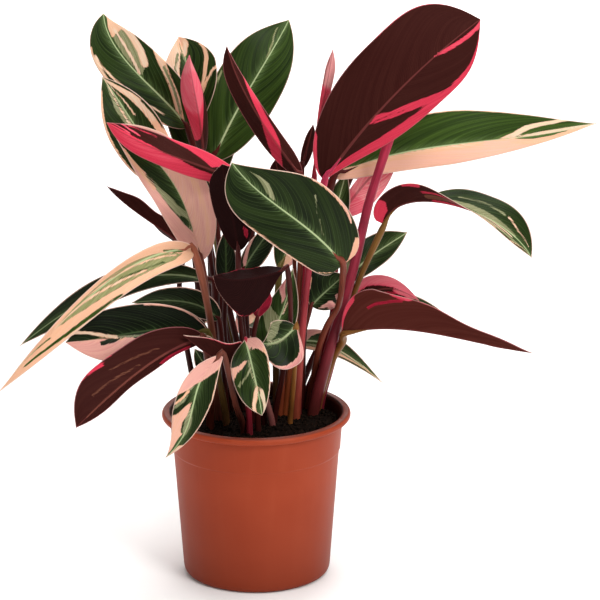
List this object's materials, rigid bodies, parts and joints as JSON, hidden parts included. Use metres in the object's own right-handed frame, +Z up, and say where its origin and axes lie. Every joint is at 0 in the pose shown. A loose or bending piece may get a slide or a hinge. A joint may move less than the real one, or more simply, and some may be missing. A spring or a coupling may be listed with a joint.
{
  "type": "stromanthe triostar in a nursery pot",
  "caption": "Potted prayer plant with long pointed leaves, green with cream and pink on top and maroon and pink below, standing in a terracotta-coloured plastic nursery pot.",
  "frame": {"origin": "centre of the pot's underside, on the surface the pot stands on", "axes": "+Z up along the pot's axis; -Y towards the front of the plant, where the large front leaf and the leaf over the rim hang; +X to its right, where the long green leaf reaches out"},
  "size_m": [0.5901, 0.3987, 0.5823],
  "materials": {
    "pot_plastic": "satin moulded polypropylene, terracotta colour",
    "peat": "moist crumbly potting peat",
    "leaf_variegated": "satin leaf, dark green with feathered cream, peach and pink sectors",
    "leaf_peach": "satin leaf, mostly cream and peach with green streaks",
    "leaf_green": "satin leaf, dark green with a paler feathered midrib",
    "leaf_maroon": "smooth leaf seen from its underside, dark maroon",
    "leaf_red": "smooth leaf seen from its underside, hot pink and red over maroon"
  },
  "bodies": {
    "root": {"pot": "pot_plastic", "peat": "peat", "leaf_upper_left": "leaf_variegated", "leaf_upper_left_edge": "leaf_variegated", "leaf_upper_left_inner": "leaf_peach", "leaf_rolled_left": "leaf_red", "leaf_upper_middle": "leaf_green", "leaf_red_left": "leaf_red", "leaf_peach_left": "leaf_peach", "leaf_small_left": "leaf_maroon", "leaf_long_peach": "leaf_peach", "leaf_dark_left": "leaf_green", "leaf_lower_left": "leaf_variegated", "leaf_lower_left_behind": "leaf_green", "leaf_maroon_lower_left": "leaf_maroon", "leaf_over_rim": "leaf_variegated", "leaf_upright_centre": "leaf_maroon", "leaf_maroon_centre": "leaf_maroon", "leaf_hanging_centre": "leaf_variegated", "leaf_folded_centre": "leaf_maroon", "leaf_young_crimson": "leaf_red", "leaf_pink_edge_centre": "leaf_variegated", "leaf_small_centre": "leaf_variegated", "leaf_low_upright_centre": "leaf_variegated", "leaf_front_large": "leaf_green", "leaf_folded_tall": "leaf_maroon", "leaf_behind_front": "leaf_maroon", "leaf_sliver": "leaf_maroon", "leaf_new_spear": "leaf_peach", "leaf_top_right_large": "leaf_maroon", "leaf_long_right": "leaf_variegated", "leaf_rose_right": "leaf_red", "leaf_arching_right": "leaf_maroon", "leaf_right_behind": "leaf_green", "leaf_lower_right_large": "leaf_maroon", "leaf_pink_lower_right": "leaf_red", "leaf_lower_right_small": "leaf_variegated", "leaf_centre_right": "leaf_green", "leaf_dark_behind_stalks": "leaf_green", "leaf_small_dark_left": "leaf_green", "leaf_dark_behind_front": "leaf_green", "leaf_back_right_tall": "leaf_maroon", "leaf_back_left_tall": "leaf_variegated", "leaf_back_middle": "leaf_variegated", "leaf_back_low_left": "leaf_variegated", "leaf_back_low_right": "leaf_green", "leaf_back_low_middle": "leaf_variegated", "leaf_back_left": "leaf_green", "leaf_back_right": "leaf_variegated"}
  },
  "joints": []
}
